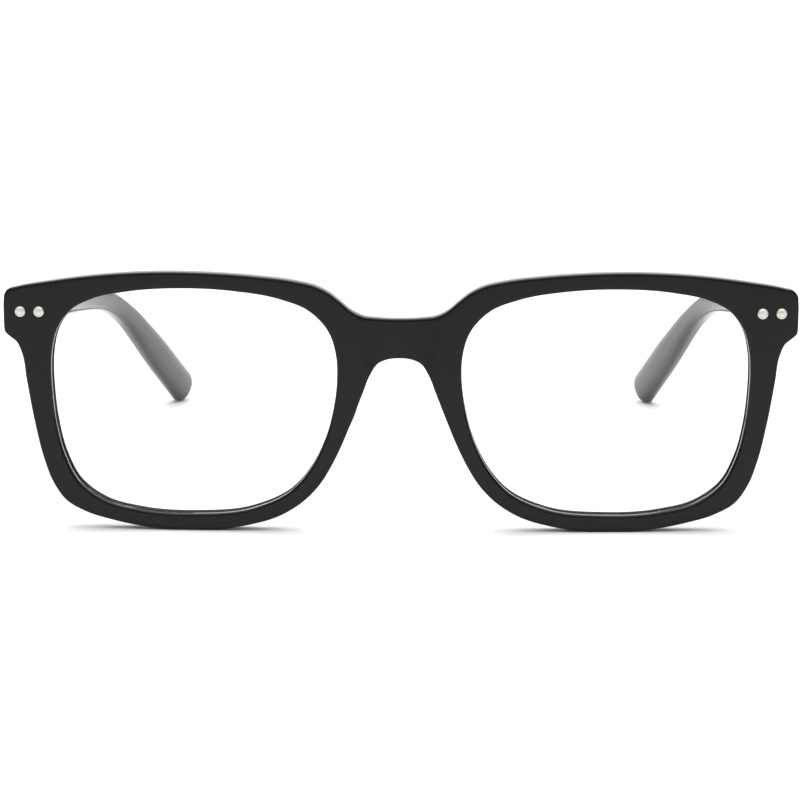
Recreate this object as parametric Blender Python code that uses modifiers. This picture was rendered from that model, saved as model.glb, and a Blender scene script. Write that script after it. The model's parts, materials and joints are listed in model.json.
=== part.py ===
"""Blue light glasses: a thick black plastic front, clear lenses and two folding temples on riveted hinges.

Metres, +Z up. The front looks along -Y and the temples run back along +Y. The origin is on the table,
under the middle of the glasses, which stand on the bottoms of the rims and on the temple tips.
Left and right are those of someone who faces the front.
"""

import math

import bmesh
import bpy
import numpy as np

MM = 0.001

# Driving dimensions, in millimetres. Y is counted from the foremost point of the front.
DEPTH = 138.9  # from the front's face to the end of the temple tips
FRONT_WIDTH = 141.0
FRONT_THICKNESS = 4.0
BASE_RADIUS = 1000.0  # the gentle curve of the sheet that the front is cut from
OUTLINE_STEPS = 2  # straight pieces between two points of the outer outline
OPENING_STEPS = 4
OUTLINE_DEPTH = 40.0  # how far an outline is extruded before a sheet is cut with it
SHEET_REACH = 76.0  # half the width of the curved sheets
SHEET_COLUMNS = 18
SHEET_Z = (-6.0, 56.0)

# Right half of the front's outer outline (X, Z), from the top of the bridge round to its underside.
OUTER_HALF = [
    (0.0, 38.3), (4.2, 38.5), (6.3, 38.8), (8.5, 39.85), (10.55, 41.55), (12.65, 43.15), (14.85, 44.2),
    (18.5, 45.05), (25.5, 45.9), (34.0, 46.45), (42.6, 46.55), (53.2, 45.95), (61.75, 44.85), (68.2, 43.7),
    (69.6, 43.3), (70.25, 42.45), (70.45, 41.0), (70.5, 37.0), (70.3, 35.6), (69.4, 34.75), (68.3, 33.85),
    (67.45, 32.0), (66.65, 26.95), (65.45, 19.7), (63.8, 12.45), (62.45, 8.7), (59.9, 5.05), (56.7, 3.2),
    (51.25, 1.55), (43.05, 0.2), (34.3, 0.0), (27.55, 0.9), (21.35, 2.75), (17.15, 5.4), (14.15, 8.55),
    (12.3, 11.5), (10.75, 14.55), (8.55, 19.75), (6.45, 25.15), (5.15, 28.4), (3.85, 30.3), (2.15, 31.05),
    (0.0, 31.25),
]
# The right lens opening (X, Z) on the front's face, from its widest point upwards and round.
OPENING = [
    (62.15, 28.8), (61.9, 32.4), (60.9, 36.2), (58.35, 39.65), (54.65, 41.6), (48.2, 43.0), (38.3, 43.65),
    (29.25, 43.2), (21.1, 41.8), (16.0, 39.75), (12.6, 36.15), (11.2, 31.65), (11.05, 28.0), (11.65, 22.6),
    (13.4, 16.25), (15.7, 11.65), (19.15, 7.55), (26.5, 4.05), (36.2, 3.0), (46.7, 3.6), (52.95, 5.25),
    (57.6, 8.7), (60.0, 13.4), (61.5, 19.7), (62.05, 25.4),
]

# The lens and its groove
GROOVE_DEPTH = 0.6
GROOVE_WIDTH = 1.8
LENS_THICKNESS = 1.6
LENS_INTO_GROOVE = 0.45
LENS_SETBACK = 1.3  # from the front's face to the lens's face

# The bridge's hollow: a leaning cylinder scoops its face
SCOOP_RADIUS = 24.0
SCOOP_DEPTH = 1.0
SCOOP_LEAN = math.radians(3.0)
BRIDGE_HEIGHT = 34.6
SCOOP_SIDES = 128
SCOOP_HALF_LENGTH = 30.0

# Nose pads: half an egg behind each nasal rim
PAD_CENTRE = (10.0, 20.4)
PAD_RADII = (1.75, 4.6, 6.4)
PAD_LEAN = math.radians(23.0)
PAD_GAP = 0.1
PAD_TRIM = 12.0  # thickness of the sheet that flattens their fronts

# Hinges
HINGE_X = 62.95
HINGE_Y = 7.75
HINGE_Z = 39.3
KNUCKLES = 5
KNUCKLE_HEIGHT = 0.95
KNUCKLE_GAP = 0.1
KNUCKLE_RADIUS = 1.3
PIN_RADIUS = 0.6
PIN_BORE_RADIUS = 0.68
SCREW_HEAD_RADIUS = 1.15
SCREW_HEAD_HEIGHT = 0.6
SCREW_SLOT = (0.35, 0.25)  # width, depth
SCREW_TURN = math.radians(25.0)  # how the slot ended up when the screw was tightened
SCREW_CHAMFER = 0.2
PLATE_THICKNESS = 0.9
FRONT_PLATE_HEIGHT = 5.4
TEMPLE_PLATE_HEIGHT = 3.6
PLATE_GAP = 0.08
FRONT_PLATE_X = (62.25, 68.85)
FRONT_PLATE_Y = 6.12  # its rear face
TEMPLE_PLATE_Y = (-0.85, 9.4)  # counted from the axis
WEB_WIDTH = 1.3
WEB_SETBACK = 0.1  # the webs stop short of the axis, inside the barrels
OVERCUT = 2.0  # how far a cutter reaches past the surface that it opens

# Rivets
RIVET_HEAD_RADIUS = 1.0
RIVET_HEAD_HEIGHT = 0.34
RIVET_SHANK_RADIUS = 0.6
RIVET_BORE_RADIUS = 0.7
RIVET_GAP = 0.05
RIVET_BORE_OVERRUN = 0.3  # how far the bore's cutter runs on behind the plate
FRONT_RIVET_X = {"inner": 64.1, "outer": 67.45}
TEMPLE_RIVET_Y = {"front": 10.6, "rear": 15.4}
TEMPLE_RIVET_RISE = 0.5

# Temples
TEMPLE_START = 6.55
TEMPLE_END = 138.32  # of the centreline; the round tip reaches a little further
TEMPLE_X = 67.45  # middle of its thickness at the hinge
TEMPLE_DROP = 37.355  # how far its centreline falls from the hinge to the tip
TEMPLE_SLOPE = math.radians(5.9)  # of the straight shaft
TIP_SLOPE = math.radians(30.0)
BEND_START, BEND_END = 68.0, 108.0
BOW_ANGLE = math.radians(10.55)  # the tips turn inwards by this much
BOW_START, BOW_END = 38.0, 99.5
# The shaft's height and its thickness, each at some values of Y
TEMPLE_WIDTHS = ((6.0, 6.8), (20.0, 6.4), (60.0, 4.9), (95.0, 4.6), (118.0, 7.3), (139.0, 7.8))
TEMPLE_THICKNESSES = ((6.0, 4.3), (20.0, 4.3), (60.0, 4.0), (100.0, 4.1), (139.0, 4.2))
TEMPLE_STRAIGHT = 20.0  # the thickness stays in line with Y as far as here
TEMPLE_STATIONS = 30
TEMPLE_SIDES = 16
STATION_CROWDING = 1.6  # above 1, the stations crowd towards the tip
BOXY_POWER, ROUND_POWER = 0.35, 0.7  # of the rounded section at the hinge and from the shaft on
BOXY_UNTIL, ROUND_FROM = 14.0, 45.0

# Stiffening wires inside the temples
CORE_RADIUS = 0.6
CORE_BORE_RADIUS = 0.8
CORE_START = 8.4
CORE_END = 126.0
CORE_FALL = 1.9  # below the centreline at the rivets
CORE_FALL_FADES = (20.0, 40.0)
CORE_POINTS = 22
MERGE_DISTANCE = 0.000001

ROUND_SIDES = 16
SIDES = {"left": -1, "right": 1}


def clear_scene():
    for obj in list(bpy.data.objects):
        bpy.data.objects.remove(obj, do_unlink=True)


def collection(name):
    made = bpy.data.collections.new(name)
    bpy.context.scene.collection.children.link(made)
    return made


def material(name, colour, roughness, metallic=0.0, alpha=1.0):
    made = bpy.data.materials.new(name)
    made.use_nodes = True
    shader = made.node_tree.nodes["Principled BSDF"]
    shader.inputs["Base Color"].default_value = (*colour, 1.0)
    shader.inputs["Roughness"].default_value = roughness
    shader.inputs["Metallic"].default_value = metallic
    shader.inputs["Alpha"].default_value = alpha
    return made


clear_scene()
PARTS = collection("blue_light_glasses")
CUTTERS = collection("cutters")
BLACK = material("black_acetate", (0.012, 0.012, 0.013), 0.12)
CLEAR = material("clear_lens", (0.93, 0.96, 1.0), 0.02, alpha=0.12)
SILVER = material("polished_steel", (0.74, 0.73, 0.70), 0.22, metallic=1.0)
PIN_STEEL = material("screw_steel", (0.62, 0.61, 0.59), 0.3, metallic=1.0)
WIRE_STEEL = material("core_steel", (0.5, 0.5, 0.5), 0.4, metallic=1.0)


def empty(name, place, parent=None):
    """An empty at a place in millimetres, counted from its parent."""
    made = bpy.data.objects.new(name, None)
    PARTS.objects.link(made)
    made.parent = parent
    made.location = [value * MM for value in place]
    return made


def place_mesh(name, mesh, parent, finish=None, location=(0, 0, 0), rotation=(0, 0, 0)):
    """Puts a mesh in the scene as a part, or as a cutter where it has no finish."""
    made = bpy.data.objects.new(name, mesh)
    made.parent = parent
    made.location = [value * MM for value in location]
    made.rotation_euler = rotation
    if finish is None:
        CUTTERS.objects.link(made)
        made.hide_render = True
        made.display_type = "WIRE"
    else:
        PARTS.objects.link(made)
        mesh.materials.clear()
        mesh.materials.append(finish)
        mesh.shade_smooth()
        mesh.set_sharp_from_angle(angle=math.radians(35))
    return made


def boolean(obj, other, operation="DIFFERENCE"):
    modifier = obj.modifiers.new(f"{operation.lower()} {other.name}", "BOOLEAN")
    modifier.operation = operation
    modifier.object = other


def mesh_of(name, shape):
    mesh = bpy.data.meshes.new(name)
    shape.to_mesh(mesh)
    shape.free()
    return mesh


def box_mesh(name, low, high):
    """A block between two corners, in millimetres."""
    shape = bmesh.new()
    bmesh.ops.create_cube(shape, size=1.0)
    low, high = np.array(low) * MM, np.array(high) * MM
    bmesh.ops.scale(shape, vec=np.abs(high - low), verts=shape.verts)
    bmesh.ops.translate(shape, vec=(low + high) / 2, verts=shape.verts)
    return mesh_of(name, shape)


def cylinder_mesh(name, radius, low, high, sides=ROUND_SIDES):
    """An upright cylinder about Z, in millimetres."""
    shape = bmesh.new()
    bmesh.ops.create_cone(
        shape, cap_ends=True, segments=sides, radius1=radius * MM, radius2=radius * MM, depth=(high - low) * MM
    )
    bmesh.ops.translate(shape, vec=(0, 0, (low + high) / 2 * MM), verts=shape.verts)
    return mesh_of(name, shape)


def turned(name, profile, parent, finish, location, rotation):
    """A turned piece: a profile (radius, height) in millimetres, top to bottom, swept about Z."""
    mesh = bpy.data.meshes.new(name)
    points = [(radius * MM, 0.0, height * MM) for radius, height in profile]
    mesh.from_pydata(points, [(i, i + 1) for i in range(len(points) - 1)], [])
    made = place_mesh(name, mesh, parent, finish, location, rotation)
    screw = made.modifiers.new("turn", "SCREW")
    screw.steps = screw.render_steps = ROUND_SIDES
    screw.use_merge_vertices = True
    screw.merge_threshold = 0.00001
    return made


def smooth_loop(points, steps):
    """A closed curve through the points: cubic pieces whose slope at a point blends its two chords."""
    here = np.array(points)
    after = np.roll(here, -1, axis=0)
    ahead = np.linalg.norm(after - here, axis=1)[:, None]
    behind = np.roll(ahead, 1, axis=0)
    before = np.roll(here, 1, axis=0)
    slope = ((here - before) / behind * ahead + (after - here) / ahead * behind) / (ahead + behind)
    t = (np.arange(steps) / steps)[None, :, None]
    start, end = here[:, None], after[:, None]
    leave, arrive = (slope * ahead)[:, None], (np.roll(slope, -1, axis=0) * ahead)[:, None]
    curve = start + t * leave + t**2 * (3 * (end - start) - 2 * leave - arrive)
    curve = curve + t**3 * (2 * (start - end) + leave + arrive)
    return curve.reshape(-1, 2)


def grown(loop, distance):
    """The loop moved outwards by a distance, square to itself."""
    along = np.roll(loop, -1, axis=0) - np.roll(loop, 1, axis=0)
    along /= np.linalg.norm(along, axis=1)[:, None]
    outwards = np.stack([along[:, 1], -along[:, 0]], axis=1)
    return loop + outwards * distance


def curve_mesh(name, curve, rotation=(0, 0, 0)):
    """The closed mesh that Blender makes of a curve, turned into place."""
    guide = bpy.data.objects.new(name + "_guide", curve)
    guide.rotation_euler = rotation
    bpy.context.scene.collection.objects.link(guide)
    bpy.context.view_layer.update()
    graph = bpy.context.evaluated_depsgraph_get()
    mesh = bpy.data.meshes.new_from_object(guide.evaluated_get(graph))
    shape = bmesh.new()
    shape.from_mesh(mesh)
    bmesh.ops.remove_doubles(shape, verts=shape.verts, dist=MERGE_DISTANCE)
    shape.transform(guide.matrix_world)
    bmesh.ops.recalc_face_normals(shape, faces=shape.faces)
    bpy.data.objects.remove(guide)
    bpy.data.curves.remove(curve)
    bpy.data.meshes.remove(mesh)
    return mesh_of(name, shape)


def outline_mesh(name, loops, depth):
    """Flat outlines in X and Z, filled between them, extruded along Y to both sides of zero."""
    curve = bpy.data.curves.new(name, "CURVE")
    curve.dimensions = "2D"
    curve.fill_mode = "BOTH"
    curve.extrude = depth / 2 * MM
    for loop in loops:
        spline = curve.splines.new("POLY")
        spline.points.add(len(loop) - 1)
        flat = np.column_stack([loop * MM, np.zeros(len(loop)), np.ones(len(loop))])
        spline.points.foreach_set("co", flat.ravel())
        spline.use_cyclic_u = True
    return curve_mesh(name, curve, (math.radians(90), 0, 0))


def front_y(x):
    """How far the curved face of the front lies behind its foremost point."""
    return x**2 / (2 * BASE_RADIUS)


def curved_sheet(name, setback, thickness):
    """A curved sheet as wide as the front: an open strip of columns, made solid towards +Y."""
    x = np.linspace(-SHEET_REACH, SHEET_REACH, SHEET_COLUMNS + 1)
    y = front_y(x) + setback
    rows = [np.column_stack([x, y, np.full_like(x, z)]) for z in SHEET_Z]
    mesh = bpy.data.meshes.new(name)
    faces = [(i, i + 1, i + len(x) + 1, i + len(x)) for i in range(SHEET_COLUMNS)]
    mesh.from_pydata((np.vstack(rows) * MM).tolist(), [], faces)
    sheet = place_mesh(name, mesh, ROOT)
    solidify = sheet.modifiers.new("thickness", "SOLIDIFY")
    solidify.thickness = thickness * MM
    solidify.offset = -1.0
    return sheet


def cut_from_sheet(name, loops, sheet, finish=None):
    """What the outlines cut from a curved sheet."""
    made = place_mesh(name, outline_mesh(name, loops, OUTLINE_DEPTH), ROOT, finish)
    boolean(made, sheet, "INTERSECT")
    return made


ROOT = empty("glasses", (0, -DEPTH / 2, 0))
AXES = {
    side: empty(f"hinge_axis_{side}", (sign * HINGE_X, HINGE_Y, HINGE_Z), ROOT)
    for side, sign in SIDES.items()
}


def mirrored(loop):
    return (loop * np.array([-1, 1]))[::-1]


def opening(side, growth=0.0):
    loop = grown(smooth_loop(OPENING, OPENING_STEPS), growth)
    return loop if side == "right" else mirrored(loop)


def front_frame():
    """The front, milled from one curved sheet, with a groove round each opening for the lens."""
    half = OUTER_HALF[1:-1]
    outer = [OUTER_HALF[0], *half, OUTER_HALF[-1], *[(-x, z) for x, z in reversed(half)]]
    outer = smooth_loop(outer, OUTLINE_STEPS)
    outer[:, 0] = np.clip(outer[:, 0], -FRONT_WIDTH / 2, FRONT_WIDTH / 2)
    outer[:, 1] = np.maximum(outer[:, 1], 0.0)  # small flats that the rims stand on
    blank = curved_sheet("front_blank", 0.0, FRONT_THICKNESS)
    made = cut_from_sheet("frame_front", [outer, opening("left"), opening("right")], blank, BLACK)
    groove_setback = LENS_SETBACK - (GROOVE_WIDTH - LENS_THICKNESS) / 2
    groove_sheet = curved_sheet("groove_sheet", groove_setback, GROOVE_WIDTH)
    for side in SIDES:
        boolean(made, cut_from_sheet(f"lens_groove_{side}", [opening(side, GROOVE_DEPTH)], groove_sheet))
    scoop = place_mesh(
        "bridge_scoop",
        cylinder_mesh("bridge_scoop", SCOOP_RADIUS, -SCOOP_HALF_LENGTH, SCOOP_HALF_LENGTH, SCOOP_SIDES),
        ROOT,
        location=(0, SCOOP_DEPTH - SCOOP_RADIUS, BRIDGE_HEIGHT),
        rotation=(-SCOOP_LEAN, 0, 0),
    )
    boolean(made, scoop)
    return made


def lens(side, sheet):
    return cut_from_sheet(f"lens_{side}", [opening(side, LENS_INTO_GROOVE)], sheet, CLEAR)


def nose_pad(side, trimmer):
    """Half an egg, its flat side against the back of the nasal rim."""
    sign = SIDES[side]
    shape = bmesh.new()
    bmesh.ops.create_uvsphere(shape, u_segments=20, v_segments=12, radius=MM)
    bmesh.ops.scale(shape, vec=PAD_RADII, verts=shape.verts)
    place = (sign * PAD_CENTRE[0], FRONT_THICKNESS, PAD_CENTRE[1])
    name = f"nose_pad_{side}"
    made = place_mesh(name, mesh_of(name, shape), ROOT, BLACK, place, (0, -sign * PAD_LEAN, 0))
    boolean(made, trimmer)
    return made


def knuckle_span(index):
    """Bottom and top of a hinge knuckle, counted from the hinge's middle."""
    pitch = KNUCKLE_HEIGHT + KNUCKLE_GAP
    middle = (index - (KNUCKLES - 1) / 2) * pitch
    return middle - KNUCKLE_HEIGHT / 2, middle + KNUCKLE_HEIGHT / 2


def hinge_half(name, plate, knuckles, web, parent, bore):
    """A plate with some knuckles about the axis, each joined to it by a web; all counted from the axis."""
    made = place_mesh(name, plate, parent, SILVER)
    for index in knuckles:
        low, high = knuckle_span(index)
        barrel = place_mesh(f"{name}_barrel_{index}", cylinder_mesh(name, KNUCKLE_RADIUS, low, high), parent)
        arm = place_mesh(f"{name}_web_{index}", box_mesh(name, (*web[0], low), (*web[1], high)), parent)
        boolean(made, arm, "UNION")
        boolean(made, barrel, "UNION")
    boolean(made, bore)
    return made


def hinge(side, frame, temple):
    """Both halves of a five-knuckle hinge, let into the end piece and into the temple, and its screw."""
    sign = SIDES[side]
    axis = AXES[side]
    reach = knuckle_span(KNUCKLES - 1)[1]
    bore = cylinder_mesh("pin_bore", PIN_BORE_RADIUS, -reach - OVERCUT, reach + OVERCUT)
    bore = place_mesh(f"pin_bore_{side}", bore, axis)

    half_height = FRONT_PLATE_HEIGHT / 2
    near, far = (sign * (x - HINGE_X) for x in FRONT_PLATE_X)
    back = FRONT_PLATE_Y - HINGE_Y
    plate = box_mesh("front_plate", (near, back - PLATE_THICKNESS, -half_height), (far, back, half_height))
    web = ((-WEB_WIDTH / 2, back - PLATE_THICKNESS / 2), (WEB_WIDTH / 2, -WEB_SETBACK))
    front_half = hinge_half(f"front_hinge_{side}", plate, (0, 2, 4), web, axis, bore)
    seat = box_mesh(
        "front_seat",
        (near - sign * PLATE_GAP, back - PLATE_THICKNESS - PLATE_GAP, -half_height - PLATE_GAP),
        (far + sign * PLATE_GAP, back + OVERCUT, half_height + PLATE_GAP),
    )
    boolean(frame, place_mesh(f"front_seat_{side}", seat, axis))

    half_height = TEMPLE_PLATE_HEIGHT / 2
    inside = TEMPLE_X - TEMPLE_THICKNESSES[0][1] / 2 - HINGE_X
    plate = box_mesh(
        "temple_plate",
        (sign * inside, TEMPLE_PLATE_Y[0], -half_height),
        (sign * (inside + PLATE_THICKNESS), TEMPLE_PLATE_Y[1], half_height),
    )
    web = ((sign * WEB_SETBACK, -WEB_WIDTH / 2), (sign * (inside + PLATE_THICKNESS / 2), WEB_WIDTH / 2))
    temple_half = hinge_half(f"temple_hinge_{side}", plate, (1, 3), web, axis, bore)
    seat = box_mesh(
        "temple_seat",
        (sign * (inside - OVERCUT), TEMPLE_PLATE_Y[0] - OVERCUT, -half_height - PLATE_GAP),
        (sign * (inside + PLATE_THICKNESS + PLATE_GAP), TEMPLE_PLATE_Y[1] + PLATE_GAP, half_height + PLATE_GAP),
    )
    boolean(temple, place_mesh(f"temple_seat_{side}", seat, axis))

    top = reach + RIVET_GAP
    head_top = top + SCREW_HEAD_HEIGHT
    profile = [
        (0.0, head_top), (SCREW_HEAD_RADIUS - SCREW_CHAMFER, head_top),
        (SCREW_HEAD_RADIUS, head_top - SCREW_CHAMFER), (SCREW_HEAD_RADIUS, top), (PIN_RADIUS, top),
        (PIN_RADIUS, -reach + KNUCKLE_GAP), (0.0, -reach + KNUCKLE_GAP),
    ]
    screw = turned(f"hinge_screw_{side}", profile, axis, PIN_STEEL, (0, 0, 0), (0, 0, 0))
    width, depth = SCREW_SLOT
    slot = box_mesh("slot", (-OVERCUT, -width / 2, head_top - depth), (OVERCUT, width / 2, head_top + OVERCUT))
    boolean(screw, place_mesh(f"screw_slot_{side}", slot, axis, rotation=(0, 0, sign * SCREW_TURN)))
    return front_half, temple_half


def rivet(name, parent, location, rotation, length, through):
    """A round-headed rivet whose shank runs down its own -Z, and its bore through other pieces."""
    dome = [
        (RIVET_HEAD_RADIUS * math.sin(angle), RIVET_HEAD_HEIGHT * (0.35 + 0.65 * math.cos(angle)))
        for angle in np.linspace(0, math.pi / 2, 5)
    ]
    shank = [(RIVET_HEAD_RADIUS, 0.0), (RIVET_SHANK_RADIUS, 0.0), (RIVET_SHANK_RADIUS, -length), (0.0, -length)]
    turned(name, dome + shank, parent, SILVER, location, rotation)
    bore = cylinder_mesh(name + "_bore", RIVET_BORE_RADIUS, -length - RIVET_BORE_OVERRUN, OVERCUT)
    cutter = place_mesh(name + "_bore", bore, parent, None, location, rotation)
    for piece in through:
        boolean(piece, cutter)


def front_rivets(side, frame, plate):
    sign = SIDES[side]
    for place, x in FRONT_RIVET_X.items():
        lean = math.atan(x / BASE_RADIUS)
        location = (sign * (x - HINGE_X), front_y(x) - RIVET_GAP - HINGE_Y, 0.0)
        length = FRONT_PLATE_Y - front_y(x) - 0.1
        rotation = (math.radians(90), 0, sign * lean)
        rivet(f"front_rivet_{side}_{place}", AXES[side], location, rotation, length, (frame, plate))


def temple_rivets(side, temple, plate):
    sign = SIDES[side]
    outside = TEMPLE_X + TEMPLE_THICKNESSES[0][1] / 2 - HINGE_X
    for place, y in TEMPLE_RIVET_Y.items():
        location = (sign * (outside + RIVET_GAP), y - HINGE_Y, TEMPLE_RIVET_RISE)
        length = TEMPLE_THICKNESSES[0][1] - 0.1
        rotation = (0, sign * math.radians(90), 0)
        rivet(f"temple_rivet_{side}_{place}", AXES[side], location, rotation, length, (temple, plate))


def smooth_step(value, start, end):
    t = np.clip((value - start) / (end - start), 0.0, 1.0)
    return t * t * (3.0 - 2.0 * t)


def run_sideways(angles, y):
    """How far a line drifts sideways from its start to each Y, when it makes these angles with Y."""
    step = np.tan((angles[1:] + angles[:-1]) / 2) * np.diff(y)
    return np.concatenate([[0.0], np.cumsum(step)])


def temple_line(y):
    """The right temple's centreline (X, Y, Z) at each Y: a sloping shaft, an ear bend, and a bowed-in tip."""
    fine = np.linspace(TEMPLE_START, TEMPLE_END, 600)
    slope = TEMPLE_SLOPE + (TIP_SLOPE - TEMPLE_SLOPE) * smooth_step(fine, BEND_START, BEND_END)
    fall = run_sideways(slope, fine)
    inwards = run_sideways(BOW_ANGLE * smooth_step(fine, BOW_START, BOW_END), fine)
    z = HINGE_Z - TEMPLE_DROP * np.interp(y, fine, fall) / fall[-1]
    return np.column_stack([TEMPLE_X - np.interp(y, fine, inwards), y, z])


def frames_along(line):
    """Two directions square to a line at each of its points: outwards in X and Y, and up."""
    along = np.gradient(line, axis=0)
    along /= np.linalg.norm(along, axis=1)[:, None]
    outwards = np.column_stack([along[:, 1], -along[:, 0], np.zeros(len(line))])
    outwards /= np.linalg.norm(outwards, axis=1)[:, None]
    up = np.cross(outwards, along)
    return along, outwards, up


def temple(side):
    """A loft of rounded sections: boxy at the hinge, slim along the shaft, a broad round-ended tip."""
    sign = SIDES[side]
    turn = np.linspace(0.0, 1.0, TEMPLE_STATIONS)
    y = TEMPLE_START + (TEMPLE_END - TEMPLE_START) * (1 - (1 - turn) ** STATION_CROWDING)
    line = temple_line(y)
    along, outwards, up = frames_along(line)
    height = np.interp(y, *zip(*TEMPLE_WIDTHS))
    thickness = np.interp(y, *zip(*TEMPLE_THICKNESSES))
    left_over = np.concatenate([np.cumsum(np.linalg.norm(np.diff(line[::-1], axis=0), axis=1))[::-1], [0.0]])
    round_end = np.clip(1 - left_over / (height / 2), 0.0, 1.0)
    height = height * np.sqrt(np.clip(1 - round_end**2, 0.03, 1.0))
    thickness = thickness * np.sqrt(np.clip(1 - round_end**4, 0.12, 1.0))
    square = (BOXY_POWER + (ROUND_POWER - BOXY_POWER) * smooth_step(y, BOXY_UNTIL, ROUND_FROM))[:, None]
    angle = np.linspace(0.0, 2 * math.pi, TEMPLE_SIDES, endpoint=False)[None, :]
    across = np.sign(np.cos(angle)) * np.abs(np.cos(angle)) ** square
    upright = np.sign(np.sin(angle)) * np.abs(np.sin(angle)) ** square
    straight = (y < TEMPLE_STRAIGHT)[:, None]
    up = np.where(straight, (0.0, 0.0, 1.0), up)
    outwards = np.where(straight, (1.0, 0.0, 0.0), outwards)
    points = line[:, None] + outwards[:, None] * (across * thickness[:, None] / 2)[..., None]
    points = points + up[:, None] * (upright * height[:, None] / 2)[..., None]
    points = (points - (HINGE_X, HINGE_Y, HINGE_Z)).reshape(-1, 3) * (sign, 1, 1) * MM
    name = f"temple_{side}"
    mesh = bpy.data.meshes.new(name)
    rings = np.arange(TEMPLE_STATIONS * TEMPLE_SIDES).reshape(TEMPLE_STATIONS, TEMPLE_SIDES)
    beside = np.roll(rings, -1, axis=1)
    quads = np.stack([rings[:-1], beside[:-1], beside[1:], rings[1:]], axis=-1).reshape(-1, 4)
    mesh.from_pydata(points.tolist(), [], [*quads.tolist(), rings[0].tolist(), rings[-1].tolist()])
    shape = bmesh.new()
    shape.from_mesh(mesh)
    bmesh.ops.recalc_face_normals(shape, faces=shape.faces)
    shape.to_mesh(mesh)
    shape.free()
    return place_mesh(name, mesh, AXES[side], BLACK)


def core_wire(side, temple_piece):
    """The stiffening wire, and the bore that it was pushed into from the temple's front end."""
    sign = SIDES[side]
    for name, radius, start in (
        (f"temple_core_{side}", CORE_RADIUS, CORE_START),
        (f"core_bore_{side}", CORE_BORE_RADIUS, TEMPLE_START - 2.0),
    ):
        y = np.linspace(start, CORE_END + (radius - CORE_RADIUS), CORE_POINTS)
        line = temple_line(y)
        line[:, 2] -= CORE_FALL * (1 - smooth_step(y, *CORE_FALL_FADES))
        line = (line - (HINGE_X, HINGE_Y, HINGE_Z)) * (sign, 1, 1) * MM
        curve = bpy.data.curves.new(name, "CURVE")
        curve.dimensions = "3D"
        curve.bevel_depth = radius * MM
        curve.bevel_resolution = 2
        curve.use_fill_caps = True
        spline = curve.splines.new("POLY")
        spline.points.add(len(line) - 1)
        spline.points.foreach_set("co", np.column_stack([line, np.ones(len(line))]).ravel())
        mesh = curve_mesh(name, curve)
        if radius == CORE_RADIUS:
            place_mesh(name, mesh, AXES[side], WIRE_STEEL)
        else:
            boolean(temple_piece, place_mesh(name, mesh, AXES[side]))


def build():
    frame = front_frame()
    lens_sheet = curved_sheet("lens_sheet", LENS_SETBACK, LENS_THICKNESS)
    pad_trimmer = curved_sheet("pad_trimmer", FRONT_THICKNESS + PAD_GAP - PAD_TRIM, PAD_TRIM)
    for side in SIDES:
        lens(side, lens_sheet)
        nose_pad(side, pad_trimmer)
        temple_piece = temple(side)
        front_half, temple_half = hinge(side, frame, temple_piece)
        front_rivets(side, frame, front_half)
        temple_rivets(side, temple_piece, temple_half)
        core_wire(side, temple_piece)


build()
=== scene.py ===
# %% [markdown]
# # Blue light glasses, piece by piece
# A pair of black plastic glasses is a small set of polished surfaces: a front milled from one curved sheet,
# two clear lenses, two temples that swing on riveted hinges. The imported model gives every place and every
# size. This lesson replaces its plain solids by fine surfaces, which numpy works out from short formulas,
# and gives each piece a finish of its own.

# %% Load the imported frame
import json
import math

import bpy
import bmesh
import numpy as np
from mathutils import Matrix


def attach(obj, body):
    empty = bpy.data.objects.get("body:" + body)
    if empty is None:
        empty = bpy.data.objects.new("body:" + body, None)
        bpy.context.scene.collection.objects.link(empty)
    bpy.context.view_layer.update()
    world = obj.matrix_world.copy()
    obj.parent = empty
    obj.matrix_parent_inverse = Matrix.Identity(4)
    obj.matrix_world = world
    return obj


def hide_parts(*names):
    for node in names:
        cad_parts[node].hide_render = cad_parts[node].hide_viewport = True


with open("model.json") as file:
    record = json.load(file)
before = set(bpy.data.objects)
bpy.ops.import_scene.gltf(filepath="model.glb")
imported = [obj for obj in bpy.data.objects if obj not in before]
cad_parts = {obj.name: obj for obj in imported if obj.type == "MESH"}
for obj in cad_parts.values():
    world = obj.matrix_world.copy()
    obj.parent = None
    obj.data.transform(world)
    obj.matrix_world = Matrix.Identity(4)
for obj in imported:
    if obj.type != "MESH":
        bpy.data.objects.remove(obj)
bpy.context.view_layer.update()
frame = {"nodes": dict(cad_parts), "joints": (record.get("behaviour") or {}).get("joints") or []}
MM = 0.001

# %% [markdown]
# ## One ruler for every piece
# The hinge axes are the surest points of the model: everything near them was drawn around them. All the
# formulas below count X from the middle of the glasses, Z from the table, and Y from the foremost point of
# the front, in millimetres. `to_world` turns such a place into Blender's metres.

# %% Where the front and the hinges are
SIDES = {"left": -1, "right": 1}
HINGE = {"x": 62.95, "y": 7.75, "z": 39.3}
axis_place = np.array(frame["joints"][0]["pos_m"]) / MM
FACE_Y = axis_place[1] - HINGE["y"]
assert abs(abs(axis_place[0]) - HINGE["x"]) < 0.01 and abs(axis_place[2] - HINGE["z"]) < 0.01
print("the front's face lies at Y =", round(FACE_Y, 3), "mm")


def to_world(points):
    """Millimetres counted from the front's face, made metres in the model's own frame."""
    return (np.asarray(points, float) + (0.0, FACE_Y, 0.0)) * MM


# %% [markdown]
# ## From a grid of points to a clean mesh
# A surface here is a grid: rows of points, all with the same number of points in a row. Four neighbours
# make a face. A grid that runs round something closes on itself, and a mask drops the faces that lie inside
# the finished piece. Points that meet, at poles and at a mirror plane, are merged afterwards, and only then
# are the normals worked out.

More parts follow.
